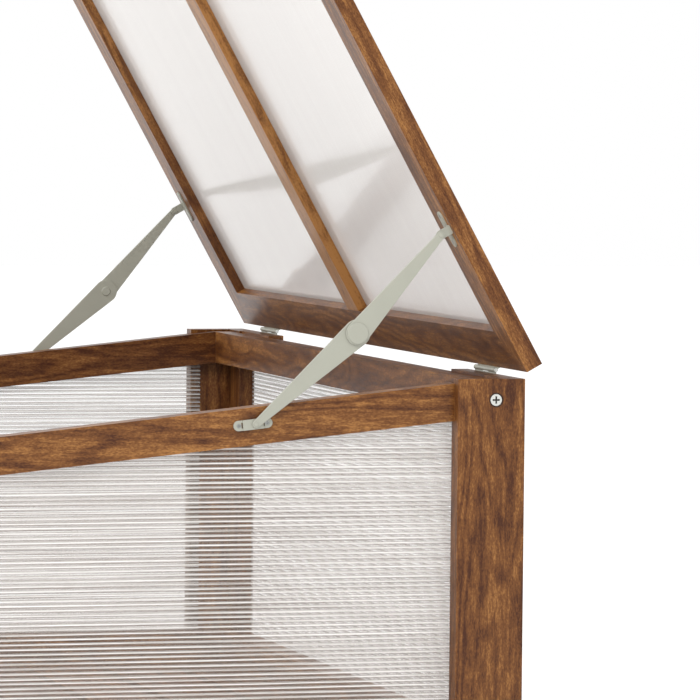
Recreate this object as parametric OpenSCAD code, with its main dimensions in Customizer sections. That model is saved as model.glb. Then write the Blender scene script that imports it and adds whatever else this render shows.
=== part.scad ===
// Cold frame: a low timber box with fluted polycarbonate walls, a slatted floor
// and a hinged, glazed lid that two folding stays hold open.
// Millimetres. X is the width, +Y points to the hinged rear, +Z is up.
// The origin is on the ground under the middle of the box. The lid is drawn open.

/* [Box] */
// Width over the posts
box_w = 1000; // [700:10:1400]
// Depth over the posts
box_d = 650; // [500:10:800]
// Height of the rear posts
rear_h = 400; // [340:5:600]
// Fall of the side rails and of the closed lid towards the front
fall = 6.1; // [3:0.1:9]

/* [Corner posts] */
// Width of each leg of the L-shaped posts
post_w = 61.5; // [50:0.5:80]
// Thickness of each leg
post_t = 19; // [15:1:25]

/* [Rails] */
// Height of the top rails
rail_h = 33; // [28:1:45]
// Thickness of the side rails
side_rail_t = 22; // [18:1:28]
// Distance from the posts' outer face to the side rails' outer face
side_rail_in = 11; // [8:1:14]
// Depth of the rear and front top rails
end_rail_d = 38; // [32:1:45]
// Distance from the rear posts' top to the rear rail's top
end_rail_drop = 2; // [1:0.5:4]
// Distance from the rear posts' top to the side rails' top, at the post
side_rail_drop = 4.5; // [3:0.5:8]
// Height of the bottom rails
low_rail_h = 60; // [40:1:80]
// Depth of the rear and front bottom rails
low_rail_d = 28; // [24:1:34]
// Height of the bottom rails above the ground
foot_h = 18; // [10:1:40]

/* [Glazing] */
// Thickness of the fluted sheet
sheet_t = 4; // [3:0.5:6]
// Depth of the grooves and rebates that hold the sheets
groove = 8; // [5:1:10]
// Overlap of the side sheets on the posts
side_lap = 9.5; // [6:0.5:14]

/* [Floor] */
// Height of the floor's upper face
floor_h = 43.5; // [35:0.5:60]
// Thickness of a slat
slat_t = 12; // [9:1:15]
// Gap between neighbouring slats
slat_gap = 11; // [6:1:20]
// Distance from the rear of the posts to the first gap's middle
first_gap = 84; // [70:1:95]

/* [Lid] */
// Thickness of the lid frame
lid_t = 15.5; // [15:0.5:20]
// Width of the lid's side rails
lid_side_w = 41; // [35:1:55]
// Width of the lid's rear and front rails
lid_end_w = 39; // [35:1:55]
// Width of the lid's middle rail
lid_mid_w = 38; // [28:1:50]
// Height of the sheets above the lid's underside
lid_sheet_up = 10; // [7:0.5:10]
// Angle of the open lid above horizontal
lid_open = 61; // [45:1:70]
// Distance that the closed lid passes the front posts
lid_front = 6; // [0:1:20]

/* [Hinges] */
// Length of a butt hinge
hinge_l = 61; // [50:1:90]
// Distance of the hinges' middle from the box's middle
hinge_x = 384; // [300:1:390]
// Radius of the knuckles
knuckle_r = 2.1; // [1.9:0.1:2.6]
// Radius of the hinge pins
pin_r = 1.1; // [0.9:0.1:1.3]
// Height of the hinge axis above the rear posts' top
hinge_up = 3.3; // [3:0.1:4]
// Distance from the posts' rear face in to the hinge axis
hinge_in = 0.5; // [0:0.1:1.5]

/* [Stays] */
// Distance from the posts' rear face forward to the stay's lower pivot
low_pivot_in = 242.7; // [235:0.1:250]
// Distance from the hinge axis down to the stay's lower pivot
low_pivot_down = 41.9; // [40:0.1:46]
// Distance from the hinge axis to the stay's upper pivot, along the lid
top_pivot_s = 144.7; // [140:0.1:150]
// Distance from the stay's upper pivot up to the lid's underside
top_pivot_drop = 11; // [8:0.5:12]
// Length of the lower arm between its pivots
low_arm = 120; // [119:0.1:121]
// Length of the upper arm between its pivots
top_arm = 113.9; // [113:0.1:117]
// Thickness of the arms
arm_t = 2; // [1.5:0.1:2.5]
// Width of an arm at its knuckle end
arm_wide = 24; // [18:0.5:26]
// Width of an arm at its bracket end
arm_narrow = 6.6; // [6:0.2:12]
// Radius of the stay's rivets
rivet_r = 1.5; // [1.2:0.1:2]

/* [Hidden] */

WOOD = [0.36, 0.21, 0.13];
SHEET = [0.93, 0.92, 0.91, 0.5];
METAL = [0.73, 0.74, 0.68];
PLATED = [0.75, 0.75, 0.74];

eps = 0.1;          // overshoot of a cutter past a face
slack = 0.1;        // room between a sheet or a screw and its seat
gap = 0.3;          // room between two bodies
lid_gap = 0.1;      // room between the closed lid and the posts
hole_slack = 0.05;  // radial clearance of a rivet or pin in a turning hole
round_n = 48;

hw = box_w / 2;
hd = box_d / 2;
side_out = hw - side_rail_in;             // outer face of the side rails
side_in = side_out - side_rail_t;         // inner face of the side rails
leg_in = hw - post_t;                     // inner face of the posts' side legs
leg_y = hd - post_t;                      // inner face of the posts' rear and front legs
post_x = hw - post_w;                     // where the posts' rear and front legs end
post_y = hd - post_w;                     // where the posts' side legs end
low_top = foot_h + low_rail_h;            // top of the bottom rails
rear_rail_top = rear_h - end_rail_drop;
front_h = rear_h - tan(fall) * (hd + post_y);  // height of the front posts' front edge
front_rail_top = front_h - end_rail_drop;
end_sheet_x = post_x + groove;            // half width of the rear and front sheets
pad_x = 328;                              // where the hinge seats begin
pad_d = 16;                               // depth of the hinge seats, from the rear face
pad_h = 5;                                // depth of the step down between the hinge seats
top_screw_in = 26.4;                      // from the rear face to the screws in the top rails' ends

slats = 8;
slat_pitch = (box_d - 2 * first_gap) / (slats - 2);
slat_x = side_in - 1;
mid_bearer_w = 30;
side_bearer_w = 20;

hinge_z = rear_h + hinge_up;
lid_rise = ((post_w - hinge_in) * tan(fall) + lid_gap - hinge_up) * cos(fall);  // axis to underside
lid_back = 1;                             // from the hinge axis to the lid's rear edge
lid_len = (box_d - hinge_in + lid_front) / cos(fall) - lid_back;
axis_y = hd - hinge_in;
leaf_t = 1.2;
leaf_low = 17.5;                          // from the hinge axis to the lower leaves' lower edge
leaf_clear = knuckle_r + 0.4;             // from the hinge axis to the leaves' near edges
leaf_hole_x = hinge_l / 2 - 9;            // from a hinge's middle to its outer screws
leaf_hole_z = 11;                         // from the hinge axis to the lower leaves' screws

plate_t = 1.6;                            // thickness of the stay brackets
plate_l = 35;                             // length of the stay brackets
plate_w = 9;
plate_hole = 12.8;                        // from a bracket's middle to its screws
bridge_y = 9.2;                           // half length of the rail brackets' raised bridge
bridge_up = 1.3;                          // height of the bridge above the plate
bridge_shift = -2;                        // from the lower pivot to the rail bracket's middle
tab_w = 8;                                // width of the lid brackets' tab
low_arm_x = side_out + plate_t + bridge_up + gap;  // inner face of the lower arms
top_arm_x = low_arm_x + arm_t + gap;      // inner face of the upper arms
lid_tab_x = top_arm_x - gap - plate_t;    // inner face of the lid brackets' tabs
lid_plate_x = lid_tab_x - 13;             // inner edge of the lid brackets' plates
low_pivot_y = hd - low_pivot_in;
low_pivot_z = hinge_z - low_pivot_down;
top_pivot_t = lid_rise - top_pivot_drop;  // height of the upper pivot in the lid's frame
top_pivot_y = axis_y - top_pivot_s * cos(lid_open) + top_pivot_t * sin(lid_open);
top_pivot_z = hinge_z + top_pivot_s * sin(lid_open) + top_pivot_t * cos(lid_open);
span_y = top_pivot_y - low_pivot_y;
span_z = top_pivot_z - low_pivot_z;
span = sqrt(span_y * span_y + span_z * span_z);
span_angle = atan2(span_z, span_y);
low_bend = acos((low_arm * low_arm + span * span - top_arm * top_arm) / (2 * low_arm * span));
low_angle = span_angle - low_bend;        // slope of the open stay's lower arm
knee_y = low_pivot_y + low_arm * cos(low_angle);
knee_z = low_pivot_z + low_arm * sin(low_angle);
top_angle = atan2(knee_z - top_pivot_z, knee_y - top_pivot_y);

// Height of the slope that the side rails and the front posts follow, at a Y
function post_top(y) = rear_h - tan(fall) * (post_y - y);

// A block from one corner to the opposite one
module block(low, high) {
  translate(low) cube(high - low);
}

// A board along Y with a sloping top and bottom, between two X faces
module sloped_board(x0, x1, y0, y1, drop, h) {
  translate([x0, 0, 0])
    rotate([90, 0, 90])
      linear_extrude(x1 - x0)
        polygon([[y0, post_top(y0) - drop - h], [y1, post_top(y1) - drop - h],
                 [y1, post_top(y1) - drop], [y0, post_top(y0) - drop]]);
}

// Turns a shape that points down the Z axis so that its head faces along +X
module facing_x() {
  rotate([0, 90, 0]) children();
}

// Turns a shape that points down the Z axis so that its head faces along +Y
module facing_y() {
  rotate([-90, 0, 0]) children();
}

// A countersunk cross-head screw, its head flush at Z = 0 and its shank below
module screw(head_r, shank_r, length) {
  head_h = head_r - shank_r;
  slot_h = 0.34 * head_r;
  difference() {
    union() {
      translate([0, 0, -head_h]) cylinder(h = head_h, r1 = shank_r, r2 = head_r, $fn = 32);
      translate([0, 0, -length]) cylinder(h = length - 1, r = shank_r, $fn = 24);
    }
    for (turn = [0, 90])
      rotate(turn)
        translate([0, 0, eps])
          cube([head_r * 1.26, head_r * 0.3, 2 * (slot_h + eps)], center = true);
  }
}

// The hole that a screw fills, with a rim of room around its head
module screw_hole(head_r, shank_r, length, rim = 0) {
  head_h = head_r - shank_r;
  translate([0, 0, -head_h]) cylinder(h = head_h, r1 = shank_r, r2 = head_r, $fn = 32);
  cylinder(h = 1, r = head_r + rim, $fn = 32);
  translate([0, 0, -length - slack]) cylinder(h = length, r = shank_r + hole_slack, $fn = 24);
}

frame_head_r = 5.2;
frame_shank_r = 2;
head_down = 0.5;                          // depth of the frame screws' heads below the wood
low_screw_z = [60, 34];                   // heights of the screws in the bottom rails' ends

// Places a shape at every corner joint of the box: child 0 through the posts'
// side legs and child 1 through their rear or front legs
module at_frame_screws() {
  for (sx = [-1, 1], sy = [-1, 1])
    let (top = sy > 0 ? rear_rail_top : front_rail_top) {
      for (place = [[hd - top_screw_in, top - rail_h / 2],
                    [hd - (low_rail_d + post_t) / 2, low_screw_z[0]]])
        translate([sx * (hw - head_down), sy * place[0], place[1]])
          rotate(sx > 0 ? 0 : 180)
            facing_x() children(0);
      for (z = [top - 10, low_screw_z[1]])
        translate([sx * (leg_in - 7), sy * (hd - head_down), z])
          rotate(sy > 0 ? 0 : 180)
            facing_y() children(1);
    }
}

module frame_screws() {
  color(PLATED)
    at_frame_screws() {
      screw(frame_head_r, frame_shank_r, 45);
      screw(frame_head_r, frame_shank_r, 65);
    }
}

module frame_screw_holes() {
  at_frame_screws() {
    screw_hole(frame_head_r, frame_shank_r, 45, 0.8);
    screw_hole(frame_head_r, frame_shank_r, 65, 0.8);
  }
}

// The room for the rear sheet, in the rear edge of the wood up to a height
module rear_sheet_room(top) {
  block([-end_sheet_x - slack, hd - sheet_t - slack, low_top - groove],
        [end_sheet_x + slack, hd + eps, top]);
}

// An L-shaped corner post. sx and sy pick the corner.
module post(sx, sy) {
  mirror_y = sy > 0 ? 0 : 1;
  color(WOOD)
    mirror([sx > 0 ? 0 : 1, 0, 0])
      difference() {
        intersection() {
          mirror([0, mirror_y, 0])
            union() {
              block([leg_in, post_y, 0], [hw, hd, rear_h]);
              block([post_x, leg_y, 0], [leg_in + eps, hd, rear_h]);
            }
          if (sy < 0) sloped_board(post_x - eps, hw + eps, -hd - eps, -post_y + eps, 0, rear_h);
          else block([post_x - 1, post_y - 1, -1], [hw + 1, hd + 1, rear_h + 1]);
        }
        mirror([0, mirror_y, 0])
          rear_sheet_room((sy > 0 ? rear_rail_top : front_rail_top) - rail_h + groove);
        frame_screw_holes();
      }
}

// The rear top rail. Its ends lie inside the posts, and two raised seats
// behind its top carry the hinges.
module top_rail_rear() {
  low = rear_rail_top - rail_h;
  color(WOOD)
    difference() {
      union() {
        block([-leg_in, hd - end_rail_d, low], [leg_in, leg_y, rear_rail_top]);
        block([-post_x, leg_y - eps, low], [post_x, hd - pad_d, rear_rail_top]);
        block([-post_x, hd - pad_d - eps, low], [post_x, hd, rear_rail_top - pad_h]);
        for (side = [0, 1])
          mirror([side, 0, 0])
            block([pad_x, hd - pad_d, low + eps], [post_x, hd, rear_h]);
      }
      rear_sheet_room(low + groove);
      for (side = [-1, 1])
        translate([side * hinge_x, 0, 0])
          block([-hinge_l / 2 - slack, hd - leaf_t, hinge_z - leaf_low - slack],
                [hinge_l / 2 + slack, hd + eps, rear_h + eps]);
      frame_screw_holes();
      hinge_lower_holes();
    }
}

// The front top rail, lower than the rear one
module top_rail_front() {
  low = front_rail_top - rail_h;
  color(WOOD)
    difference() {
      union() {
        block([-leg_in, -leg_y, low], [leg_in, end_rail_d - hd, front_rail_top]);
        block([-post_x, -hd, low], [post_x, eps - leg_y, front_rail_top]);
      }
      mirror([0, 1, 0]) rear_sheet_room(low + groove);
      frame_screw_holes();
    }
}

// A side top rail falls to the front. Its outer part stops at the posts.
module top_rail_side(sx) {
  run = hd - end_rail_d;
  sheet_run = post_y + side_lap + 1;
  color(WOOD)
    mirror([sx > 0 ? 0 : 1, 0, 0])
      difference() {
        union() {
          sloped_board(side_in, side_out, -post_y, post_y, side_rail_drop, rail_h);
          sloped_board(side_in, leg_in, -run, run, side_rail_drop, rail_h);
        }
        sloped_board(leg_in - sheet_t - slack, leg_in + slack, -sheet_run, sheet_run,
                     side_rail_drop + rail_h - groove, 2 * groove);
        frame_screw_holes();
        stay_rail_holes();
      }
}

module bottom_rail_end(sy) {
  color(WOOD)
    mirror([0, sy > 0 ? 0 : 1, 0])
      difference() {
        union() {
          block([-leg_in, hd - low_rail_d, foot_h], [leg_in, leg_y, low_top]);
          block([-post_x, leg_y - eps, foot_h], [post_x, hd, low_top]);
        }
        rear_sheet_room(low_top + eps);
        frame_screw_holes();
      }
}

module bottom_rail_side(sx) {
  run = hd - low_rail_d;
  sheet_run = post_y + side_lap + 1;
  color(WOOD)
    mirror([sx > 0 ? 0 : 1, 0, 0])
      difference() {
        union() {
          block([side_in, -post_y, foot_h], [side_out, post_y, low_top]);
          block([side_in, -run, foot_h], [leg_in, run, low_top]);
        }
        block([leg_in - sheet_t - slack, -sheet_run, low_top - groove],
              [leg_in + slack, sheet_run, low_top + eps]);
        frame_screw_holes();
      }
}

// The rear and front sheets lie in a rebate round their opening, flush outside
module panel_end(sy) {
  top = (sy > 0 ? rear_rail_top : front_rail_top) - rail_h + groove - 1;
  color(SHEET)
    mirror([0, sy > 0 ? 0 : 1, 0])
      block([1 - end_sheet_x, hd - sheet_t, low_top - groove + 1], [end_sheet_x - 1, hd, top]);
}

// A side sheet lies against the posts' inner faces, with its top cut to the fall
module panel_side(sx) {
  run = post_y + side_lap;
  color(SHEET)
    mirror([sx > 0 ? 0 : 1, 0, 0])
      intersection() {
        block([leg_in - sheet_t, -run, low_top - groove + 1], [leg_in, run, rear_h]);
        sloped_board(leg_in - sheet_t - 1, leg_in + 1, -hd, hd,
                     side_rail_drop + rail_h - groove + 1, rear_h);
      }
}

// Battens under the slats, along the side bottom rails and in the middle
module floor_bearer(place) {
  run = hd - low_rail_d;
  low = foot_h - 5;
  top = floor_h - slat_t;
  color(WOOD)
    if (place == 0) block([-mid_bearer_w / 2, -run, low], [mid_bearer_w / 2, run, top]);
    else
      mirror([place > 0 ? 0 : 1, 0, 0])
        block([side_in - side_bearer_w, -run, low], [side_in, run, top]);
}

// Distances from the posts' rear face to a slat's rear and front edges
function gap_middle(i) = first_gap + (i - 1) * slat_pitch;
function slat_start(i) = i == 1 ? low_rail_d + 1 : gap_middle(i - 1) + slat_gap / 2;
function slat_end(i) = i == slats ? box_d - low_rail_d - 1 : gap_middle(i) - slat_gap / 2;

// Slats run across the box and are counted from the rear
module floor_slat(i) {
  color(WOOD)
    block([-slat_x, hd - slat_end(i), floor_h - slat_t], [slat_x, hd - slat_start(i), floor_h]);
}

// The open lid's own frame: Y runs from the hinge axis, the lid lies towards -Y
module lid_pose() {
  translate([0, axis_y, hinge_z])
    rotate([-lid_open, 0, 0])
      children();
}

// A lid frame rail's outline in plan, with mitred ends
module lid_outline(points, from = lid_rise, to = lid_rise + lid_t) {
  translate([0, 0, from])
    linear_extrude(to - from)
      polygon(points);
}

lid_y0 = -lid_back;
lid_y1 = -lid_back - lid_len;
lid_in_x = hw - lid_side_w;
lid_in_y0 = lid_y0 - lid_end_w;
lid_in_y1 = lid_y1 + lid_end_w;
lid_sheet_z = lid_rise + lid_sheet_up;
tongue = 8;                               // length of the middle rail's tongues
tongue_w = 18;
tongue_z = lid_rise + 4;                  // lower face of the tongues
tongue_t = 5;

// The room for both lid sheets, with the middle rail between them
module lid_sheet_room() {
  for (side = [0, 1])
    mirror([side, 0, 0])
      block([lid_mid_w / 2 - groove, lid_in_y1 - groove, lid_sheet_z - slack],
            [lid_in_x + groove, lid_in_y0 + groove, lid_sheet_z + sheet_t + slack]);
}

// A tongue along the lid between two distances, grown all round
module lid_tongue(y0, y1, grow = 0) {
  block([-tongue_w / 2 - grow, y0 - grow, tongue_z - grow],
        [tongue_w / 2 + grow, y1 + grow, tongue_z + tongue_t + grow]);
}

module lid_sockets() {
  for (y = [lid_in_y0, lid_in_y1])
    lid_tongue(y - tongue, y + tongue, slack);
}

module lid_rail_rear() {
  color(WOOD)
    lid_pose()
      difference() {
        lid_outline([[-hw, lid_y0], [hw, lid_y0], [lid_in_x, lid_in_y0], [-lid_in_x, lid_in_y0]]);
        lid_sheet_room();
        lid_sockets();
        hinge_upper_holes();
      }
}

module lid_rail_front() {
  color(WOOD)
    lid_pose()
      difference() {
        lid_outline([[-hw, lid_y1], [-lid_in_x, lid_in_y1], [lid_in_x, lid_in_y1], [hw, lid_y1]]);
        lid_sheet_room();
        lid_sockets();
      }
}

module lid_rail_side(sx) {
  color(WOOD)
    lid_pose()
      mirror([sx > 0 ? 0 : 1, 0, 0])
        difference() {
          lid_outline([[hw, lid_y0], [lid_in_x, lid_in_y0], [lid_in_x, lid_in_y1], [hw, lid_y1]]);
          lid_sheet_room();
          stay_lid_holes();
        }
}

module lid_rail_middle() {
  color(WOOD)
    lid_pose()
      difference() {
        union() {
          block([-lid_mid_w / 2, lid_in_y1, lid_rise], [lid_mid_w / 2, lid_in_y0, lid_rise + lid_t]);
          lid_tongue(lid_in_y1 - tongue, lid_in_y0 + tongue);
        }
        lid_sheet_room();
      }
}

module lid_panel(sx) {
  color(SHEET)
    lid_pose()
      mirror([sx > 0 ? 0 : 1, 0, 0])
        block([lid_mid_w / 2 - groove + 1, lid_in_y1 - groove + 1, lid_sheet_z],
              [lid_in_x + groove - 1, lid_in_y0 + groove - 1, lid_sheet_z + sheet_t]);
}

// The places along X of a hinge leaf's screws
module at_leaf_holes() {
  for (side = [-1, 1], x = [-leaf_hole_x, 0, leaf_hole_x])
    translate([side * hinge_x + x, 0, 0])
      facing_y() children();
}

module at_lower_leaf_holes() {
  translate([0, hd, hinge_z - leaf_hole_z]) at_leaf_holes() children();
}

module at_upper_leaf_holes() {
  translate([0, leaf_t - lid_back, lid_rise + lid_t / 2]) at_leaf_holes() children();
}

module hinge_lower_holes() {
  at_lower_leaf_holes() screw_hole(2.5, 1.3, 14);
}

module hinge_upper_holes() {
  at_upper_leaf_holes() screw_hole(2.5, 1.3, 14);
}

module hinge_lower_screws() {
  color(PLATED)
    at_lower_leaf_holes() screw(2.5, 1.3, 14);
}

module hinge_upper_screws() {
  color(PLATED)
    lid_pose()
      at_upper_leaf_holes() screw(2.5, 1.3, 14);
}

// Part of a hinge barrel between two distances from the hinge's middle
module barrel(x0, x1, r) {
  translate([x0, 0, 0]) rotate([0, 90, 0]) cylinder(h = x1 - x0, r = r, $fn = round_n);
}

// The lower leaf lies in the box's rear face and holds the two outer knuckles
module hinge_lower_leaf(sx) {
  inner = hinge_l / 6 + gap / 2;
  color(METAL)
    difference() {
      translate([sx * hinge_x, axis_y, hinge_z])
        difference() {
          union() {
            block([-hinge_l / 2, hinge_in - leaf_t, -leaf_low], [hinge_l / 2, hinge_in, -leaf_clear]);
            for (side = [0, 1])
              mirror([side, 0, 0]) {
                block([inner, hinge_in - leaf_t, -leaf_clear - eps], [hinge_l / 2, hinge_in, 0]);
                barrel(inner, hinge_l / 2, knuckle_r);
              }
          }
          barrel(-hinge_l, hinge_l, pin_r);
        }
      hinge_lower_holes();
    }
}

// The upper leaf lies on the lid's rear edge and holds the middle knuckle
module hinge_upper_leaf(sx) {
  inner = hinge_l / 6 - gap / 2;
  outer_y = leaf_t - lid_back;
  color(METAL)
    lid_pose()
      difference() {
        translate([sx * hinge_x, 0, 0])
          difference() {
            union() {
              block([-hinge_l / 2, -lid_back, leaf_clear], [hinge_l / 2, outer_y, lid_rise + lid_t - 1]);
              block([-inner, -lid_back, 0], [inner, outer_y, leaf_clear + eps]);
              barrel(-inner, inner, knuckle_r);
            }
            barrel(-hinge_l, hinge_l, pin_r + hole_slack);
          }
        hinge_upper_holes();
      }
}

// The pins' ends are riveted over against the outer knuckles
module hinge_pins() {
  color(PLATED)
    for (side = [-1, 1], end = [0, 1])
      translate([side * hinge_x, axis_y, hinge_z])
        mirror([end, 0, 0]) {
          barrel(-eps, hinge_l / 2, pin_r);
          barrel(hinge_l / 2, hinge_l / 2 + 0.6, pin_r + 0.6);
        }
}

// A plate with round ends, in the YZ plane, from X = 0 outwards
module round_plate(length, width, thickness) {
  reach = (length - width) / 2;
  block([0, -reach, -width / 2], [thickness, reach, width / 2]);
  for (end = [-1, 1])
    translate([0, end * reach, 0]) rotate([0, 90, 0]) cylinder(h = thickness, r = width / 2, $fn = round_n);
}

// Puts a shape at the middle of the right rail bracket, in line with the rail
module at_rail_bracket() {
  translate([side_out, low_pivot_y, low_pivot_z])
    rotate([fall, 0, 0])
      translate([0, bridge_shift, 0])
        children();
}

module at_rail_bracket_screws() {
  at_rail_bracket()
    for (end = [-1, 1])
      translate([plate_t, end * plate_hole, 0]) facing_x() children();
}

module stay_rail_holes() {
  at_rail_bracket_screws() screw_hole(2.2, 1.2, 14);
}

// A round-ended plate with a raised bridge between two slots
module stay_rail_bracket(sx) {
  color(METAL)
    mirror([sx > 0 ? 0 : 1, 0, 0])
      difference() {
        at_rail_bracket() {
          difference() {
            round_plate(plate_l, plate_w, plate_t);
            for (end = [0, 1])
              mirror([0, end, 0])
                block([-eps, bridge_y - eps, -2.4], [plate_t + eps, bridge_y + 1.2, 2.4]);
          }
          block([0, -bridge_y, -plate_w / 2], [plate_t + bridge_up, bridge_y, plate_w / 2]);
        }
        stay_rail_holes();
        translate([side_out - eps, low_pivot_y, low_pivot_z])
          facing_x() cylinder(h = 9, r = rivet_r, $fn = round_n);
      }
}

module stay_rail_screws() {
  color(PLATED)
    for (side = [0, 1])
      mirror([side, 0, 0]) at_rail_bracket_screws() screw(2.2, 1.2, 14);
}

// A rivet's shank from Z = 0 with its low head at a height
module rivet(head) {
  cylinder(h = head, r = rivet_r, $fn = round_n);
  translate([0, 0, head]) cylinder(h = 0.5, r1 = rivet_r + 0.7, r2 = rivet_r + 0.3, $fn = round_n);
}

// Rivets fixed in the rail brackets, with a head outside each lower arm
module stay_rail_rivets() {
  color(METAL)
    for (side = [0, 1])
      mirror([side, 0, 0])
        translate([side_out + 0.2, low_pivot_y, low_pivot_z])
          facing_x() rivet(low_arm_x + arm_t + gap / 2 - side_out - 0.2);
}

// A tapering arm between two pivots. The narrow end has the pivot hole.
module arm(length, wide) {
  difference() {
    hull() {
      rotate([0, 90, 0]) cylinder(h = arm_t, r = arm_narrow / 2, $fn = 32);
      translate([0, length, 0])
        rotate([0, 90, 0]) cylinder(h = arm_t, r = wide / 2, $fn = 64);
    }
    translate([-1, 0, 0])
      rotate([0, 90, 0]) cylinder(h = arm_t + 2, r = rivet_r + hole_slack, $fn = round_n);
  }
}

module stay_lower_arm(sx) {
  color(METAL)
    mirror([sx > 0 ? 0 : 1, 0, 0])
      translate([low_arm_x, low_pivot_y, low_pivot_z])
        rotate([low_angle, 0, 0])
          arm(low_arm, arm_wide);
}

module stay_upper_arm(sx) {
  color(METAL)
    mirror([sx > 0 ? 0 : 1, 0, 0])
      translate([top_arm_x, top_pivot_y, top_pivot_z])
        rotate([top_angle, 0, 0])
          arm(top_arm, arm_wide - 3);
}

// The knuckle's broad outer button, fast in the upper arm
module stay_knuckle_button(sx) {
  color(METAL)
    mirror([sx > 0 ? 0 : 1, 0, 0])
      translate([top_arm_x + arm_t, knee_y, knee_z])
        facing_x() {
          cylinder(h = 0.6, r = 9.4, $fn = 64);
          translate([0, 0, 0.6]) cylinder(h = 0.4, r1 = 9.4, r2 = 8.8, $fn = 64);
        }
}

// The knuckle's inner tail, fast in the lower arm
module stay_knuckle_tail(sx) {
  color(METAL)
    mirror([sx > 0 ? 0 : 1, 0, 0])
      translate([low_arm_x - 1, knee_y, knee_z])
        facing_x() cylinder(h = 1, r1 = 4.2, r2 = 5, $fn = round_n);
}

// Puts a shape at the middle of the right lid bracket, on the lid's underside
module at_lid_bracket() {
  translate([0, -top_pivot_s, lid_rise]) children();
}

module at_lid_bracket_screws() {
  at_lid_bracket()
    for (end = [-1, 1])
      translate([lid_plate_x + plate_w / 2, end * plate_hole, -plate_t])
        mirror([0, 0, 1]) children();
}

module stay_lid_holes() {
  at_lid_bracket_screws() screw_hole(2.2, 1.2, 11);
}

// A plate under the lid with a tab turned down for the upper pivot
module stay_lid_bracket(sx) {
  reach = (plate_l - plate_w) / 2;
  plate_end = lid_plate_x + plate_w;
  color(METAL)
    lid_pose()
      mirror([sx > 0 ? 0 : 1, 0, 0])
        difference() {
          at_lid_bracket() {
            block([lid_plate_x, -reach, -plate_t], [plate_end, reach, 0]);
            for (end = [-1, 1])
              translate([lid_plate_x + plate_w / 2, end * reach, -plate_t])
                cylinder(h = plate_t, r = plate_w / 2, $fn = round_n);
            block([plate_end - eps, -tab_w / 2, -plate_t], [lid_tab_x + plate_t, tab_w / 2, 0]);
            block([lid_tab_x, -tab_w / 2, -top_pivot_drop],
                  [lid_tab_x + plate_t, tab_w / 2, eps - plate_t]);
            translate([lid_tab_x, 0, -top_pivot_drop]) barrel(0, plate_t, tab_w / 2);
          }
          stay_lid_holes();
          at_lid_bracket()
            translate([lid_tab_x, 0, -top_pivot_drop]) barrel(-1, plate_t + 1, rivet_r);
        }
}

module stay_lid_screws() {
  color(PLATED)
    lid_pose()
      for (side = [0, 1])
        mirror([side, 0, 0]) at_lid_bracket_screws() screw(2.2, 1.2, 11);
}

// Rivets fixed in the lid brackets' tabs, with a head outside each upper arm
module stay_lid_rivets() {
  color(METAL)
    lid_pose()
      for (side = [0, 1])
        mirror([side, 0, 0])
          at_lid_bracket()
            translate([lid_tab_x, 0, -top_pivot_drop])
              facing_x() {
                translate([0, 0, -0.8]) cylinder(h = 0.8, r = rivet_r + 1, $fn = round_n);
                rivet(top_arm_x + arm_t + gap / 2 - lid_tab_x);
              }
}

post(-1, 1);  // post_rear_left
post(1, 1);  // post_rear_right
post(-1, -1);  // post_front_left
post(1, -1);  // post_front_right
top_rail_rear();
top_rail_front();
top_rail_side(-1);  // top_rail_left
top_rail_side(1);  // top_rail_right
bottom_rail_end(1);  // bottom_rail_rear
bottom_rail_end(-1);  // bottom_rail_front
bottom_rail_side(-1);  // bottom_rail_left
bottom_rail_side(1);  // bottom_rail_right
panel_end(1);  // panel_rear
panel_end(-1);  // panel_front
panel_side(-1);  // panel_left
panel_side(1);  // panel_right
floor_bearer(-1);  // floor_bearer_left
floor_bearer(0);  // floor_bearer_middle
floor_bearer(1);  // floor_bearer_right
for (i = [1:slats])
  floor_slat(i);
frame_screws();
lid_rail_rear();
lid_rail_front();
lid_rail_side(-1);  // lid_rail_left
lid_rail_side(1);  // lid_rail_right
lid_rail_middle();
lid_panel(-1);  // lid_panel_left
lid_panel(1);  // lid_panel_right
hinge_lower_leaf(-1);  // hinge_lower_leaf_left
hinge_lower_leaf(1);  // hinge_lower_leaf_right
hinge_upper_leaf(-1);  // hinge_upper_leaf_left
hinge_upper_leaf(1);  // hinge_upper_leaf_right
hinge_pins();
hinge_lower_screws();
hinge_upper_screws();
stay_rail_bracket(-1);  // stay_rail_bracket_left
stay_rail_bracket(1);  // stay_rail_bracket_right
stay_rail_screws();
stay_rail_rivets();
stay_lower_arm(-1);  // stay_lower_arm_left
stay_lower_arm(1);  // stay_lower_arm_right
stay_upper_arm(-1);  // stay_upper_arm_left
stay_upper_arm(1);  // stay_upper_arm_right
stay_lid_bracket(-1);  // stay_lid_bracket_left
stay_lid_bracket(1);  // stay_lid_bracket_right
stay_lid_screws();
stay_lid_rivets();
stay_knuckle_button(-1);  // stay_knuckle_button_left
stay_knuckle_button(1);  // stay_knuckle_button_right
stay_knuckle_tail(-1);  // stay_knuckle_tail_left
stay_knuckle_tail(1);  // stay_knuckle_tail_right
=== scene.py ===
import math

import bmesh
import bpy
from mathutils import Matrix, Vector


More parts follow.
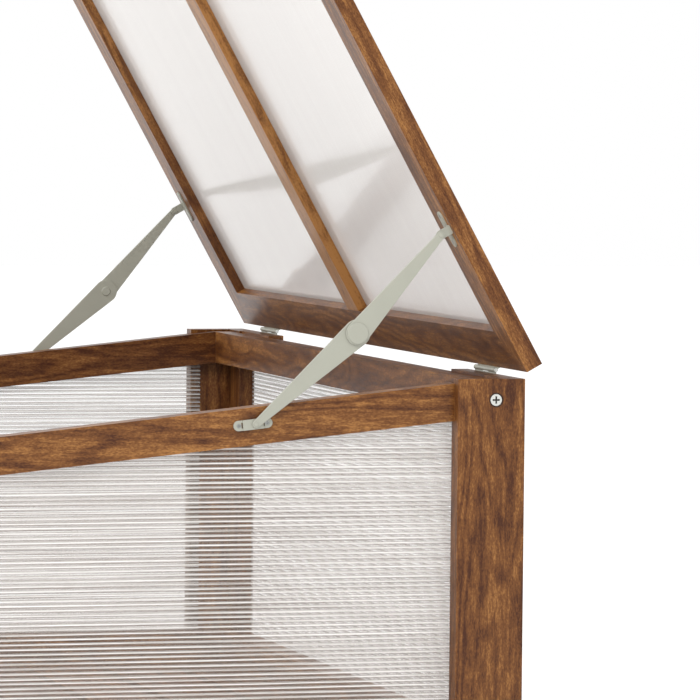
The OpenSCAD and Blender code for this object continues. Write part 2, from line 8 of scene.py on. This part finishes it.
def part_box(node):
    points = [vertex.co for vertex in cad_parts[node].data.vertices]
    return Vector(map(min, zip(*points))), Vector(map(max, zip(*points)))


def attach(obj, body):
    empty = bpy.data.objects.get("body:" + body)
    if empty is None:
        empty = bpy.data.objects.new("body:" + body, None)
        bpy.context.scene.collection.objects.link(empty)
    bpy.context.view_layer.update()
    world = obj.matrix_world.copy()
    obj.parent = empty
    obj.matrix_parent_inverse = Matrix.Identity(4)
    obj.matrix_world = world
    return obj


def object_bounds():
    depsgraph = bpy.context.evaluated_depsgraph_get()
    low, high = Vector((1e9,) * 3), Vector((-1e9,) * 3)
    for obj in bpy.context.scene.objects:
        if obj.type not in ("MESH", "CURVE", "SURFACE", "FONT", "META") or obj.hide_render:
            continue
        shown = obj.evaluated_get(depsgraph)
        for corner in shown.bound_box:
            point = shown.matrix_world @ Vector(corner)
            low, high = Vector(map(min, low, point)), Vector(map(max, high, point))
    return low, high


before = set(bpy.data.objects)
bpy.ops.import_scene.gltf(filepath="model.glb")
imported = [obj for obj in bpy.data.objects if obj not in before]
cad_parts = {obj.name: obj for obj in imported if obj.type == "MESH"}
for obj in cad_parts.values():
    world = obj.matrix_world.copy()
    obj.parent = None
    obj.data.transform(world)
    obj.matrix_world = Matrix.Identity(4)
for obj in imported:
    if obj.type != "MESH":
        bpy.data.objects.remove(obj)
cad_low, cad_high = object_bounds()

# ---------------------------------------------------------------- corner posts
# Four L-shaped posts, each two planed boards glued at a right angle, in
# walnut-brown stained fir with a satin varnish. The corners are eased with
# one pass of a plane, so every edge is slightly round.

STAIN_DARK = (0.054, 0.0145, 0.0036, 1.0)
STAIN_MIDDLE = (0.152, 0.0555, 0.0135, 1.0)
STAIN_LIGHT = (0.370, 0.168, 0.048, 1.0)
# painted shadow: the near-black that darkens the countersunk seats round the frame screws, standing in for
# the shade in the gap round each head
SEAT_SHADOW_COLOR = (0.010, 0.004, 0.002, 1.0)
RING_LINES = 105.0
RING_SHARPNESS = 1.8
PORES_ABOVE = 0.62
EASED_EDGE = 0.0011
EASED_FROM = math.radians(40)
EDGE_SEGMENTS = 2
WELD_GAP = 0.00002
FLAT_WITHIN = math.radians(0.5)
# painted highlight along the eased edges, partly also lighter wood where the stain is sanded thin
EDGE_HIGHLIGHT_AND_WEAR_TONE = 0.20
# strength and outer radius of the painted shadow in the screw seats
SEAT_SHADOW_STRENGTH = 0.9
SCREW_SUNK = 0.0006
HEAD_SPAN = 0.012
SEAT_RADIUS = 0.0059
SEAT_SHADOW_RADIUS = 0.0070


def add_node(tree, kind, inputs=None, **settings):
    """A node in a tree, with its settings, and its inputs by name or by number."""
    made = tree.nodes.new(kind)
    for name, value in settings.items():
        setattr(made, name, value)
    for socket, value in (inputs or {}).items():
        if isinstance(value, bpy.types.NodeSocket):
            tree.links.new(value, made.inputs[socket])
        else:
            made.inputs[socket].default_value = value
    return made


def calculate(tree, operation, first, second=0.0, clamp=False):
    """The result of a Math node."""
    inputs = {0: first, 1: second}
    made = add_node(tree, "ShaderNodeMath", inputs, operation=operation, use_clamp=clamp)
    return made.outputs[0]


def multiply_add(tree, value, gain, offset, clamp=False):
    """A value times gain, plus offset."""
    inputs = {0: value, 1: gain, 2: offset}
    made = add_node(tree, "ShaderNodeMath", inputs, operation="MULTIPLY_ADD", use_clamp=clamp)
    return made.outputs[0]


def spread(tree, value, gain, offset=0.0):
    """A value about 0.5 stretched by gain and centred on offset."""
    return multiply_add(tree, value, gain, offset - 0.5 * gain)


def mix_colors(tree, amount, first, second):
    """The first colour where amount is 0 and the second where it is 1."""
    inputs = {0: amount, 6: first, 7: second}
    return add_node(tree, "ShaderNodeMix", inputs, data_type="RGBA").outputs[2]


def object_place(tree):
    """The place on the piece, in metres of the shared frame."""
    return add_node(tree, "ShaderNodeTexCoord").outputs["Object"]


def stretched_noise(tree, position, across, along, detail=3.0, roughness=0.55):
    """Noise drawn out along Z: across and along are features per metre."""
    inputs = {0: position, 1: (across, across, along)}
    scaled = add_node(tree, "ShaderNodeVectorMath", inputs, operation="MULTIPLY")
    noise = add_node(tree, "ShaderNodeTexNoise",
                     {"Vector": scaled.outputs[0], "Scale": 1.0, "Detail": detail, "Roughness": roughness})
    return noise.outputs[0]


def new_group(name, inputs, outputs):
    """A shader node group with named sockets. Returns the tree and its input node."""
    tree = bpy.data.node_groups.new(name, "ShaderNodeTree")
    for label, kind, value in inputs:
        socket = tree.interface.new_socket(name=label, in_out="INPUT", socket_type=kind)
        if value is not None:
            socket.default_value = value
    for label, kind in outputs:
        tree.interface.new_socket(name=label, in_out="OUTPUT", socket_type=kind)
    return tree, tree.nodes.new("NodeGroupInput")


def close_group(tree, **results):
    """Links a group's results to its output sockets."""
    add_node(tree, "NodeGroupOutput", results)


def wood_grain():
    """Colour, roughness and relief of a stained board whose grain runs along Z."""
    tree, given = new_group(
        "wood_grain",
        [("Position", "NodeSocketVector", None), ("Dark", "NodeSocketColor", STAIN_DARK),
         ("Middle", "NodeSocketColor", STAIN_MIDDLE), ("Light", "NodeSocketColor", STAIN_LIGHT),
         ("Figure", "NodeSocketFloat", 1.0), ("Tone", "NodeSocketFloat", 0.5)],
        [("Color", "NodeSocketColor"), ("Roughness", "NodeSocketFloat"), ("Height", "NodeSocketFloat")])
    place = given.outputs["Position"]
    # growth rings are contour lines of a slowly changing, drawn-out field
    field = stretched_noise(tree, place, across=13.0, along=2.0)
    ring = calculate(tree, "SINE", calculate(tree, "MULTIPLY", field, RING_LINES))
    ring = calculate(tree, "POWER", spread(tree, ring, 0.5, 0.75), RING_SHARPNESS)
    board = stretched_noise(tree, place, across=9.0, along=0.7, detail=1.0)
    streak = stretched_noise(tree, place, across=70.0, along=3.0, roughness=0.6)
    mottle = stretched_noise(tree, place, across=110.0, along=55.0, detail=4.0, roughness=0.7)
    fibre = stretched_noise(tree, place, across=430.0, along=55.0, detail=4.0, roughness=0.75)
    grit = stretched_noise(tree, place, across=950.0, along=420.0, detail=1.0)
    pore = stretched_noise(tree, place, across=900.0, along=75.0, detail=1.0)
    pore = calculate(tree, "GREATER_THAN", pore, PORES_ABOVE)
    # the tone is 0 at the darkest of the three stains, 0.5 at the middle one and 1 at the lightest
    tone = calculate(tree, "ADD", spread(tree, board, 0.60), given.outputs["Tone"])
    figure = calculate(tree, "MULTIPLY", spread(tree, ring, -0.26), given.outputs["Figure"])
    tone = calculate(tree, "ADD", tone, figure)
    for value, gain in ((streak, 1.05), (mottle, 0.62), (fibre, 1.15), (grit, 0.80)):
        tone = calculate(tree, "ADD", tone, spread(tree, value, gain))
    pore_shade = calculate(tree, "MULTIPLY", pore, 0.13)
    tone = calculate(tree, "SUBTRACT", tone, pore_shade, clamp=True)
    low = calculate(tree, "MULTIPLY", tone, 2.0, clamp=True)
    high = multiply_add(tree, tone, 2.0, -1.0, clamp=True)
    color = mix_colors(tree, low, given.outputs["Dark"], given.outputs["Middle"])
    color = mix_colors(tree, high, color, given.outputs["Light"])
    rough = spread(tree, fibre, 0.20, 0.42)
    pore_depth = calculate(tree, "MULTIPLY", pore, 0.4)
    height = calculate(tree, "SUBTRACT", calculate(tree, "MULTIPLY", fibre, 0.6), pore_depth)
    close_group(tree, Color=color, Roughness=rough, Height=height)
    return tree


WOOD_GRAIN = wood_grain()


def group_node(tree, group, inputs):
    """A node that uses a group."""
    return add_node(tree, "ShaderNodeGroup", inputs, node_tree=group)


def blank_material(name):
    """A material with only its output and a Principled shader."""
    made = bpy.data.materials.new(name)
    made.use_nodes = True
    tree = made.node_tree
    tree.nodes.clear()
    shader = tree.nodes.new("ShaderNodeBsdfPrincipled")
    output = tree.nodes.new("ShaderNodeOutputMaterial")
    tree.links.new(shader.outputs[0], output.inputs[0])
    return made, tree, shader


def head_middles():
    """The middles of the frame screws' heads, the left ones folded onto the right."""
    face_x = cad_high.x - SCREW_SUNK
    face_y = -cad_low.y - SCREW_SUNK
    heads = []
    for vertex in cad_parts["frame_screws"].data.vertices:
        spot = Vector((abs(vertex.co.x), vertex.co.y, vertex.co.z))
        if spot.x < face_x and abs(spot.y) < face_y:
            continue
        head = next((head for head in heads if (head[0] - spot).length < HEAD_SPAN), None)
        if head is None:
            heads.append([spot])
        else:
            head.append(spot)
    middles = []
    for head in heads:
        lows = [min(spot[axis] for spot in head) for axis in range(3)]
        highs = [max(spot[axis] for spot in head) for axis in range(3)]
        middles.append(tuple((low + high) / 2 for low, high in zip(lows, highs)))
    return middles


def screw_seat_shadows():
    """1 in the countersunk seats, where shadow is painted into the gap round each head, and 0 elsewhere."""
    tree, given = new_group(
        "screw_seat_shadows",
        [("Position", "NodeSocketVector", None)],
        [("Stain", "NodeSocketFloat")])
    parts = add_node(tree, "ShaderNodeSeparateXYZ", {0: given.outputs["Position"]})
    right_x = calculate(tree, "ABSOLUTE", parts.outputs[0])
    folded = add_node(tree, "ShaderNodeCombineXYZ", {0: right_x, 1: parts.outputs[1], 2: parts.outputs[2]})
    nearest = None
    for middle in head_middles():
        ends = {0: folded.outputs[0], 1: middle}
        away = add_node(tree, "ShaderNodeVectorMath", ends, operation="DISTANCE").outputs["Value"]
        nearest = away if nearest is None else calculate(tree, "MINIMUM", nearest, away)
    limits = {1: SEAT_RADIUS, 2: SEAT_SHADOW_RADIUS, 3: 1.0, 4: 0.0}
    shadow_mask = add_node(tree, "ShaderNodeMapRange", {0: nearest, **limits})
    close_group(tree, Stain=shadow_mask.outputs[0])
    return tree


SCREW_SEAT_SHADOWS = screw_seat_shadows()


def stained_wood(name, turn, shift, figure, tone):
    """Varnished, stained wood. turn is the rotation that brings its grain onto Z."""
    made, tree, shader = blank_material(name)
    place = object_place(tree)
    turned = add_node(tree, "ShaderNodeMapping", {"Vector": place, "Rotation": turn, "Location": shift})
    grain = group_node(tree, WOOD_GRAIN, {"Position": turned.outputs[0], "Figure": figure, "Tone": tone})
    height = grain.outputs["Height"]
    relief = add_node(tree, "ShaderNodeBump", {"Strength": 0.30, "Distance": 0.0006, "Height": height})
    # painted shadow: near-black in the countersunk seats round the frame screws, in place of the shade in
    # the gap round each head
    seat_shadows = group_node(tree, SCREW_SEAT_SHADOWS, {"Position": place})
    seat_shadow_amount = calculate(tree, "MULTIPLY", seat_shadows.outputs[0], SEAT_SHADOW_STRENGTH)
    color = mix_colors(tree, seat_shadow_amount, grain.outputs["Color"], SEAT_SHADOW_COLOR)
    tree.links.new(color, shader.inputs["Base Color"])
    tree.links.new(grain.outputs["Roughness"], shader.inputs["Roughness"])
    tree.links.new(relief.outputs[0], shader.inputs["Normal"])
    shader.inputs["Specular IOR Level"].default_value = 0.16
    shader.inputs["Coat Weight"].default_value = 0.22
    shader.inputs["Coat Roughness"].default_value = 0.20
    shader.inputs["Coat IOR"].default_value = 1.45
    return made


def wood_and_edge(name, turn, shift, figure, tone):
    """A board's material, and a lighter one for its edges: a painted highlight where the eased edges catch
    the light, partly also lighter wood where the stain is sanded thin.
    """
    return (stained_wood(name, turn, shift, figure, tone),
            stained_wood(name + "_edge", turn, shift, figure, tone + EDGE_HIGHLIGHT_AND_WEAR_TONE))


def dress(node, materials, edge):
    """Gives a CAD node its material, and one for its edges if there are two, and rounds it."""
    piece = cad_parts[node]
    piece.data.materials.clear()
    for material in materials:
        piece.data.materials.append(material)
    weld = piece.modifiers.new("weld", "WELD")
    weld.merge_threshold = WELD_GAP
    flatten = piece.modifiers.new("whole_faces", "DECIMATE")
    flatten.decimate_type = "DISSOLVE"
    flatten.angle_limit = FLAT_WITHIN
    bevel = piece.modifiers.new("eased_edge", "BEVEL")
    bevel.width = edge
    bevel.segments = EDGE_SEGMENTS
    bevel.limit_method = "ANGLE"
    bevel.angle_limit = EASED_FROM
    bevel.use_clamp_overlap = True
    # the bevel faces take the last material: for wood, the lighter edge material with its painted highlight
    bevel.material = len(materials) - 1
    smooth = piece.modifiers.new("soft_corner", "WEIGHTED_NORMAL")
    smooth.keep_sharp = False
    for face in piece.data.polygons:
        face.use_smooth = True
    return piece


GRAIN_UP = (0.0, 0.0, 0.0)
post_wood = wood_and_edge("post_wood", GRAIN_UP, (0.31, 0.12, 0.4), 1.2, 0.335)
for end in ("rear", "front"):
    for side in ("left", "right"):
        dress(f"post_{end}_{side}", post_wood, EASED_EDGE)

# ------------------------------------------------------------------ box rails
# Planed battens of the same stained wood, screwed between the posts. The
# side rails fall to the front, and the rear rail has a raised seat for each
# hinge.

GRAIN_ACROSS = (0.0, math.radians(-90), 0.0)
GRAIN_BACK = (math.radians(90), 0.0, 0.0)
SIDE_RAIL_EDGE = 0.0016
cross_wood = wood_and_edge("cross_rail_wood", GRAIN_ACROSS, (0.2, 0.7, 0.1), 1.0, 0.37)
side_wood = wood_and_edge("side_rail_wood", GRAIN_BACK, (0.9, 0.3, 0.6), 1.3, 0.41)
for level in ("top", "bottom"):
    for end in ("rear", "front"):
        dress(f"{level}_rail_{end}", cross_wood, EASED_EDGE)
    for side in ("left", "right"):
        dress(f"{level}_rail_{side}", side_wood, SIDE_RAIL_EDGE)

# ----------------------------------------------------------------- box sheets
# Clear twin-wall polycarbonate, 4 mm thick: two thin skins joined by webs
# that run level round the box. The skins stay as the CAD sheet, and the webs
# stand inside it. Its edges sit in grooves and rebates of the wood.

FLUTE = 0.0042
SHEET_MILK = (0.53, 0.475, 0.43, 1.0)
SHEET_BRIGHT = (0.86, 0.84, 0.82, 1.0)
SHEET_SHADE = (0.15, 0.11, 0.085, 1.0)
FLUTE_WANDER = 0.5
LINE_SHARPNESS = 5.0
SHADE_LAG = 2.3
WEB_THICK = 0.0005
WEB_INSET = 0.001
SKIN_GAP = 0.0004
LAPPED_LENGTH = 0.016


def flute_bands():
    """Masks of a twin-wall sheet's webs, of the shaded line beside each, and of its cloudiness."""
    tree, given = new_group(
        "flute_bands",
        [("Across", "NodeSocketFloat", 0.0), ("Pitch", "NodeSocketFloat", FLUTE),
         ("Along", "NodeSocketVector", None)],
        [("Web", "NodeSocketFloat"), ("Shade", "NodeSocketFloat"), ("Haze", "NodeSocketFloat")])
    along = given.outputs["Along"]
    drift = stretched_noise(tree, along, across=120.0, along=3.0, detail=2.0)
    turns = calculate(tree, "DIVIDE", given.outputs["Across"], given.outputs["Pitch"])
    turns = calculate(tree, "ADD", turns, calculate(tree, "MULTIPLY", drift, FLUTE_WANDER))
    wave = calculate(tree, "COSINE", calculate(tree, "MULTIPLY", turns, 2 * math.pi))
    line = calculate(tree, "POWER", spread(tree, wave, 0.5, 0.75), LINE_SHARPNESS)
    flow = stretched_noise(tree, along, across=260.0, along=6.0)
    web = calculate(tree, "MULTIPLY", spread(tree, flow, 2.4, 1.0), line, clamp=True)
    # the shaded line lies beside the web, a part of a turn behind it
    beside = calculate(tree, "COSINE", multiply_add(tree, turns, 2 * math.pi, SHADE_LAG))
    line = calculate(tree, "POWER", spread(tree, beside, 0.5, 0.75), LINE_SHARPNESS)
    streak = stretched_noise(tree, along, across=330.0, along=4.0, detail=2.0)
    shade = calculate(tree, "MULTIPLY", spread(tree, streak, 3.2, 0.55), line, clamp=True)
    haze = stretched_noise(tree, along, across=30.0, along=2.0, detail=2.0)
    close_group(tree, Web=web, Shade=shade, Haze=haze)
    return tree


FLUTE_BANDS = flute_bands()


def fluted_sheet(name, axis, turn, clear, milky, shaded, milk=SHEET_MILK, gloss=0.16, ripple=0.35):
    """Twin-wall sheet with flutes spaced along an axis.

    clear and milky are the opacities between the webs and on them, and shaded
    is the strength of the dark line beside each web.
    """
    made, tree, shader = blank_material(name)
    place = object_place(tree)
    across = add_node(tree, "ShaderNodeSeparateXYZ", {0: place}).outputs[axis]
    turned = add_node(tree, "ShaderNodeMapping", {"Vector": place, "Rotation": turn})
    bands = group_node(tree, FLUTE_BANDS, {"Across": across, "Pitch": FLUTE, "Along": turned.outputs[0]})
    lines = calculate(tree, "MULTIPLY", bands.outputs["Shade"], shaded)
    web = bands.outputs["Web"]
    alpha = multiply_add(tree, web, milky - clear, clear)
    alpha = calculate(tree, "ADD", alpha, calculate(tree, "MULTIPLY", lines, 0.5))
    haze = calculate(tree, "MULTIPLY", bands.outputs["Haze"], 0.05)
    alpha = calculate(tree, "ADD", alpha, haze, clamp=True)
    tint = mix_colors(tree, web, milk, SHEET_BRIGHT)
    tint = mix_colors(tree, lines, tint, SHEET_SHADE)
    relief = add_node(tree, "ShaderNodeBump", {"Strength": ripple, "Distance": 0.0005, "Height": web})
    tree.links.new(alpha, shader.inputs["Alpha"])
    tree.links.new(tint, shader.inputs["Base Color"])
    tree.links.new(relief.outputs[0], shader.inputs["Normal"])
    shader.inputs["Roughness"].default_value = gloss
    shader.inputs["IOR"].default_value = 1.50
    return made


def web_material():
    """The same plastic seen edge on: see-through, and cloudier in places."""
    made, tree, shader = blank_material("sheet_web")
    place = object_place(tree)
    cloud = add_node(tree, "ShaderNodeTexNoise", {"Vector": place, "Scale": 60.0, "Detail": 2.0}).outputs[0]
    tint = mix_colors(tree, cloud, SHEET_MILK, SHEET_BRIGHT)
    tree.links.new(tint, shader.inputs["Base Color"])
    shader.inputs["Roughness"].default_value = 0.25
    shader.inputs["Alpha"].default_value = 0.38
    return made


SHEET_WEB = web_material()


def sheet_webs(name, low, high, run, step, thin):
    """Webs inside a sheet's box. run, step and thin are the axes along, between and through them."""
    shape = bmesh.new()
    first = math.ceil((low[step] + WEB_INSET) / FLUTE)
    last = math.floor((high[step] - WEB_INSET) / FLUTE)
    for number in range(first, last + 1):
        middle = (low + high) / 2
        middle[step] = number * FLUTE
        size = Vector((0.0, 0.0, 0.0))
        size[run] = high[run] - low[run] - 2 * WEB_INSET
        size[step] = WEB_THICK
        size[thin] = high[thin] - low[thin] - 2 * SKIN_GAP
        place = Matrix.Translation(middle) @ Matrix.Diagonal((*size, 1.0))
        bmesh.ops.create_cube(shape, size=1.0, matrix=place)
    mesh = bpy.data.meshes.new(name)
    shape.to_mesh(mesh)
    shape.free()
    piece = bpy.data.objects.new(name, mesh)
    bpy.context.scene.collection.objects.link(piece)
    mesh.materials.append(SHEET_WEB)
    return piece


def cut_to_fall(piece, high, slope):
    """Cuts webs off below a sheet's sloping top, which is highest at the rear."""
    cutter = bmesh.new()
    cutter.from_mesh(piece.data)
    everything = cutter.verts[:] + cutter.edges[:] + cutter.faces[:]
    top = Vector((0.0, high.y, high.z - SKIN_GAP))
    tilt = Vector((0.0, -slope, 1.0)).normalized()
    bmesh.ops.bisect_plane(cutter, geom=everything, plane_co=top, plane_no=tilt, clear_outer=True)
    bmesh.ops.holes_fill(cutter, edges=[edge for edge in cutter.edges if edge.is_boundary])
    cutter.to_mesh(piece.data)
    cutter.free()


def dress_sheet(node, material):
    """Gives a CAD sheet its material. Its edges are out of sight in the wood."""
    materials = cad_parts[node].data.materials
    materials.clear()
    materials.append(material)


X, Y, Z = 0, 1, 2
end_sheet = fluted_sheet("end_sheet", Z, GRAIN_ACROSS, clear=0.04, milky=0.82, shaded=1.0)
side_sheet = fluted_sheet("side_sheet", Z, GRAIN_BACK, clear=0.04, milky=0.82, shaded=1.0)
for end in ("rear", "front"):
    dress_sheet(f"panel_{end}", end_sheet)
    webs = sheet_webs(f"webs_{end}", *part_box(f"panel_{end}"), X, Z, Y)
    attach(webs, "frame")
for side in ("left", "right"):
    dress_sheet(f"panel_{side}", side_sheet)
    low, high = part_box(f"panel_{side}")
    # the sheet's top follows the rail, so its webs are cut off along the fall
    webs = sheet_webs(f"webs_{side}", low, high, Y, Z, X)
    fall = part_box("post_rear_left")[1].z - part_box("post_front_left")[1].z
    cut_to_fall(webs, high, fall / (2 * high.y - LAPPED_LENGTH))
    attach(webs, "frame")

# ---------------------------------------------------------------- slatted floor
# Three battens along the bottom carry eight planed boards with gaps between
# them for drainage. Same stained wood, fixed out of sight.

SLATS = 8
slat_wood = wood_and_edge("slat_wood", GRAIN_ACROSS, (0.5, 0.1, 0.8), 1.0, 0.40)
bearer_wood = wood_and_edge("bearer_wood", GRAIN_BACK, (0.1, 0.8, 0.3), 1.0, 0.40)
for place in ("left", "middle", "right"):
    dress(f"floor_bearer_{place}", bearer_wood, EASED_EDGE)
for number in range(1, SLATS + 1):
    dress(f"floor_slat_{number}", slat_wood, EASED_EDGE)

# ------------------------------------------------------------------- lid frame
# A mitred frame of stained battens with one middle rail. It leans back on its
# hinges, so the grain of its side rails runs along the slope.

LID_OPEN = math.radians(61)
GRAIN_LEAN = (LID_OPEN - math.radians(90), 0.0, 0.0)
lean_wood = wood_and_edge("lid_side_wood", GRAIN_LEAN, (0.4, 0.2, 0.9), 1.1, 0.47)
middle_wood = wood_and_edge("lid_middle_wood", GRAIN_LEAN, (0.6, 0.1, 0.5), 1.0, 0.92)
lid_cross_wood = wood_and_edge("lid_cross_wood", GRAIN_ACROSS, (0.7, 0.5, 0.2), 1.0, 0.40)
for side in ("left", "right"):
    dress(f"lid_rail_{side}", lean_wood, EASED_EDGE)
dress("lid_rail_middle", middle_wood, EASED_EDGE)
for end in ("rear", "front"):
    dress(f"lid_rail_{end}", lid_cross_wood, EASED_EDGE)

# ------------------------------------------------------------------ lid sheets
# The same twin-wall sheet, milkier, set in the lid's grooves with its flutes
# running down the slope so that rain and condensation drain off.

LID_MILK = (0.845, 0.81, 0.785, 1.0)
lid_sheet = fluted_sheet("lid_sheet", X, GRAIN_LEAN, clear=0.60, milky=0.66, shaded=0.04,
                         milk=LID_MILK, gloss=0.045, ripple=0.05)
for side in ("left", "right"):
    dress_sheet(f"lid_panel_{side}", lid_sheet)

# --------------------------------------------------------------------- hinges
# Two steel butt hinges with three knuckles each, painted grey-green with the
# stays: the lower leaf let into the rear of the rail's seat, the upper one on
# the lid's rear edge.

PAINT = (0.345, 0.345, 0.288, 1.0)
HINGE_EDGE = 0.0002


def scaled(color, gain):
    """A colour made lighter or darker."""
    return tuple(part * gain for part in color[:3]) + (1.0,)


def painted_steel(name):
    """Grey-green paint with a faint orange peel and slightly uneven gloss."""
    made, tree, shader = blank_material(name)
    place = object_place(tree)
    peel = add_node(tree, "ShaderNodeTexNoise", {"Vector": place, "Scale": 900.0, "Detail": 2.0}).outputs[0]
    cloud = add_node(tree, "ShaderNodeTexNoise", {"Vector": place, "Scale": 35.0, "Detail": 4.0}).outputs[0]
    tint = mix_colors(tree, cloud, scaled(PAINT, 0.93), scaled(PAINT, 1.06))
    rough = calculate(tree, "ADD", calculate(tree, "MULTIPLY", cloud, 0.14), 0.34)
    relief = add_node(tree, "ShaderNodeBump", {"Strength": 0.12, "Distance": 0.0002, "Height": peel})
    tree.links.new(tint, shader.inputs["Base Color"])
    tree.links.new(rough, shader.inputs["Roughness"])
    tree.links.new(relief.outputs[0], shader.inputs["Normal"])
    return made


paint = (painted_steel("grey_green_paint"),)
for side in ("left", "right"):
    dress(f"hinge_lower_leaf_{side}", paint, HINGE_EDGE)
    dress(f"hinge_upper_leaf_{side}", paint, HINGE_EDGE)

# ---------------------------------------------------------------------- stays
# A folding stay on each side: two pressed steel arms that taper to their
# brackets and are joined by a broad riveted knuckle, all in the same paint.

BRACKET_EDGE = 0.00035
ARM_EDGE = 0.0004
RIVET_EDGE = 0.0002
for side in ("left", "right"):
    for name in ("rail_bracket", "lid_bracket"):
        dress(f"stay_{name}_{side}", paint, BRACKET_EDGE)
    for name in ("lower_arm", "upper_arm"):
        dress(f"stay_{name}_{side}", paint, ARM_EDGE)
    for name in ("knuckle_button", "knuckle_tail"):
        dress(f"stay_{name}_{side}", paint, RIVET_EDGE)
for name in ("stay_rail_rivets", "stay_lid_rivets"):
    dress(name, paint, RIVET_EDGE)

# --------------------------------------------------------------------- screws
# Zinc-plated cross-head wood screws and the bare hinge pins. The frame screws
# are sunk just below the posts' faces, with painted shade in their deep crosses,
# and the stays' small screws have dulled.

ZINC_BRIGHT = (0.74, 0.75, 0.71, 1.0)
ZINC_DULL = (0.56, 0.57, 0.54, 1.0)
ZINC_METALLIC = 0.9
SCREW_EDGE = 0.0001
RECESS_PAINTED_SHADE = (0.03, 0.024, 0.018, 1.0)
RECESS_DEPTH = 0.0012
RECESS_X = cad_high.x - RECESS_DEPTH
RECESS_Y = -cad_low.y - RECESS_DEPTH


def zinc_plate(name, bright=1.0, recessed=False):
    """Bright zinc plate with faint spangle. Recessed plate has painted shade below the faces: dark and not
    metallic in its deep cross.
    """
    made, tree, shader = blank_material(name)
    place = object_place(tree)
    spangle = add_node(tree, "ShaderNodeTexVoronoi", {"Vector": place, "Scale": 700.0}).outputs["Distance"]
    tint = mix_colors(tree, spangle, scaled(ZINC_BRIGHT, bright), scaled(ZINC_DULL, bright))
    rough = calculate(tree, "ADD", calculate(tree, "MULTIPLY", spangle, 0.2), 0.30)
    # painted shade: below the faces, including the bottom of the deep cross, the screw is made dark and not
    # metallic in place of the shade in the recess
    if recessed:
        across = add_node(tree, "ShaderNodeSeparateXYZ", {0: place})
        past_x = calculate(tree, "GREATER_THAN", calculate(tree, "ABSOLUTE", across.outputs[0]), RECESS_X)
        past_y = calculate(tree, "GREATER_THAN", calculate(tree, "ABSOLUTE", across.outputs[1]), RECESS_Y)
        outside = calculate(tree, "MAXIMUM", past_x, past_y)
        tint = mix_colors(tree, outside, RECESS_PAINTED_SHADE, tint)
        tree.links.new(calculate(tree, "MULTIPLY", outside, ZINC_METALLIC), shader.inputs["Metallic"])
    else:
        shader.inputs["Metallic"].default_value = ZINC_METALLIC
    tree.links.new(tint, shader.inputs["Base Color"])
    tree.links.new(rough, shader.inputs["Roughness"])
    return made


dress("frame_screws", (zinc_plate("frame_screw_zinc", recessed=True),), SCREW_EDGE)
dull_zinc = (zinc_plate("dull_zinc", bright=0.5),)
for name in ("stay_rail_screws", "stay_lid_screws"):
    dress(name, dull_zinc, SCREW_EDGE)
zinc = (zinc_plate("zinc_plate"),)
for name in ("hinge_lower_screws", "hinge_upper_screws", "hinge_pins"):
    dress(name, zinc, SCREW_EDGE)

# --------------------------------------------------------------------- studio
# A plain pale floor, an even white room, one large soft light and a wide, weak
# skylight.


def floor_material():
    """Matt, nearly white board."""
    made, tree, shader = blank_material("studio_floor")
    place = object_place(tree)
    cloud = add_node(tree, "ShaderNodeTexNoise", {"Vector": place, "Scale": 3.0, "Detail": 3.0}).outputs[0]
    tint = mix_colors(tree, cloud, (0.93, 0.93, 0.93, 1.0), (0.96, 0.96, 0.955, 1.0))
    tree.links.new(tint, shader.inputs["Base Color"])
    shader.inputs["Roughness"].default_value = 0.8
    return made


FLOOR_SIZE = 30.0
bpy.ops.mesh.primitive_plane_add(size=FLOOR_SIZE, location=(0.0, 0.0, 0.0))
studio_floor = bpy.context.object
studio_floor.name = "studio_floor"
studio_floor.data.materials.append(floor_material())

room = bpy.data.worlds.new("white_room")
bpy.context.scene.world = room
room.use_nodes = True
background = room.node_tree.nodes["Background"]
background.inputs["Color"].default_value = (1.0, 1.0, 1.0, 1.0)
background.inputs["Strength"].default_value = 1.0

WINDOW_PLACE = Vector((2.6, -2.2, 3.2))
WINDOW_TARGET = Vector((0.0, 0.0, 0.4))
window_data = bpy.data.lights.new("window_light", "AREA")
window_data.shape = "DISK"
window_data.size = 2.4
window_data.energy = 70.0
window_light = bpy.data.objects.new("window_light", window_data)
bpy.context.scene.collection.objects.link(window_light)
window_light.location = WINDOW_PLACE
window_light.rotation_euler = (WINDOW_TARGET - WINDOW_PLACE).to_track_quat("-Z", "Y").to_euler()

sky_data = bpy.data.lights.new("skylight", "SUN")
sky_data.energy = 0.9
sky_data.angle = math.radians(60)
skylight = bpy.data.objects.new("skylight", sky_data)
bpy.context.scene.collection.objects.link(skylight)
skylight.rotation_euler = (math.radians(35), math.radians(20), 0.0)

# --------------------------------------------------------------------- camera
# A long lens beside the right-hand end, a little higher than the hinges and
# turned towards the rear half of the right-hand top rail.

CAMERA_PLACE = Vector((4.6178, -0.9929, 0.6309))
camera_data = bpy.data.cameras.new("camera")
camera_data.sensor_width = 36.0
camera_data.lens = 252.8
camera_data.clip_end = 100.0
camera = bpy.data.objects.new("camera", camera_data)
bpy.context.scene.collection.objects.link(camera)
azimuth, elevation, roll = math.radians(74.301), math.radians(2.742), math.radians(0.535)
ahead = Vector((-math.sin(azimuth) * math.cos(elevation),
                math.cos(azimuth) * math.cos(elevation),
                -math.sin(elevation)))
right = Vector((math.cos(azimuth), math.sin(azimuth), 0.0))
above = right.cross(ahead)
tilted_right = math.cos(roll) * right + math.sin(roll) * above
tilted_above = -math.sin(roll) * right + math.cos(roll) * above
pose = Matrix((tilted_right, tilted_above, -ahead)).transposed().to_4x4()
pose.translation = CAMERA_PLACE
camera.matrix_world = pose
bpy.context.scene.camera = camera
bpy.context.scene.view_settings.view_transform = "Standard"
